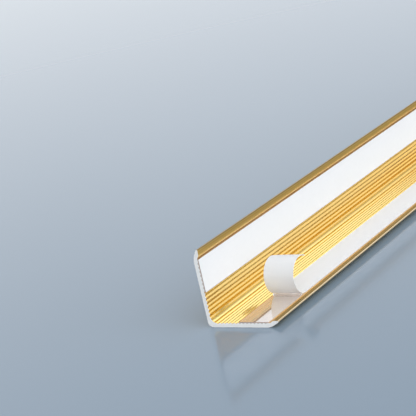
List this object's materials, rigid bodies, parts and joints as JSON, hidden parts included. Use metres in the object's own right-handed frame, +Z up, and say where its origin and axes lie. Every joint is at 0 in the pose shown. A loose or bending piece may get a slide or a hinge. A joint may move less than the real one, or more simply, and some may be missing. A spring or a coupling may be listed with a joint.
{
  "type": "wall corner guard",
  "caption": "L-shaped aluminium wall corner guard, ribbed inside, with adhesive tape and a release liner along each leg, the lower liner peeled back in a curl.",
  "frame": {"origin": "middle of the length and of the width, on the plane that the flat leg lies on", "axes": "+X from the corner across the flat leg, +Y along the guard away from the end with the peeled liner, +Z up the standing leg"},
  "size_m": [0.025, 1, 0.025],
  "materials": {
    "gold_anodised_aluminium": "gold anodised satin, bare silver on the cut ends",
    "adhesive_tape": "glossy translucent adhesive",
    "release_liner": "smooth white release paper"
  },
  "bodies": {
    "root": {"corner_profile": "gold_anodised_aluminium", "tape_flat_leg": "adhesive_tape", "tape_standing_leg": "adhesive_tape", "liner_peeled": "release_liner", "liner_flat": "release_liner"}
  },
  "joints": []
}
